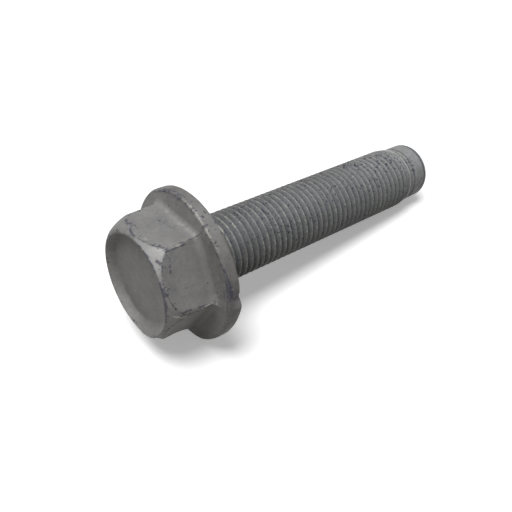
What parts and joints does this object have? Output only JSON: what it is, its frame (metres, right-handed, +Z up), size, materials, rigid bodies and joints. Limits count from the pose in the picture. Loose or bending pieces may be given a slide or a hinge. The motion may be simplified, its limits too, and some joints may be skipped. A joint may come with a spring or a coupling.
{
  "type": "hexagon flange bolt",
  "caption": "Hexagon flange bolt with a dished head, a full-length fine thread and a plain pilot point, lying on its rim and tip.",
  "frame": {"origin": "centre of the bearing face under the flange, on the bolt's axis", "axes": "+X level from the head towards the point, +Z up with the bolt at rest on its rim and its point; the bolt's own axis dips 7.64 degrees below +X"},
  "size_m": [0.068, 0.0268, 0.0259],
  "materials": {
    "zinc_flake_steel": "satin grey zinc flake coat, scuffed dark along the edges"
  },
  "bodies": {
    "root": {"flange_bolt": "zinc_flake_steel"}
  },
  "joints": []
}
